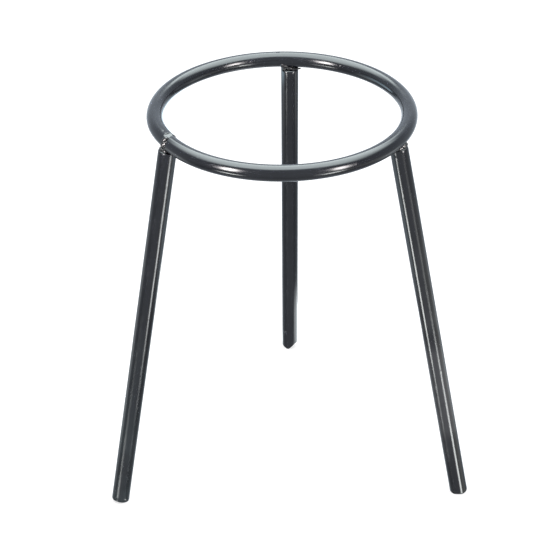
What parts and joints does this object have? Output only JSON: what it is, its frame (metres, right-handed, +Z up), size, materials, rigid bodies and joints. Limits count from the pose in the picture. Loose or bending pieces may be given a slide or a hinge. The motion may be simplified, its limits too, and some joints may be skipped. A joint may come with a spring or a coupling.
{
  "type": "lab tripod stand",
  "caption": "Welded laboratory tripod: a ring of round steel rod on splayed round-rod legs, black enamelled, that holds a vessel or gauze over a burner.",
  "frame": {"origin": "on the bench, at the middle of the stand's footprint box; the ring's axis passes 1.7 mm to -X and 12.1 mm to -Y of it", "axes": "+Z up through the ring, +Y towards the back leg, +X towards the right leg"},
  "size_m": [0.1272, 0.1141, 0.1402],
  "materials": {
    "enamel": "gloss black enamel over round steel rod",
    "weld_enamel": "gloss black enamel over rough weld metal"
  },
  "bodies": {
    "root": {"ring": "enamel", "leg_left": "enamel", "leg_right": "enamel", "leg_back": "enamel", "weld_left": "weld_enamel", "weld_right": "weld_enamel", "weld_back": "weld_enamel"}
  },
  "joints": []
}
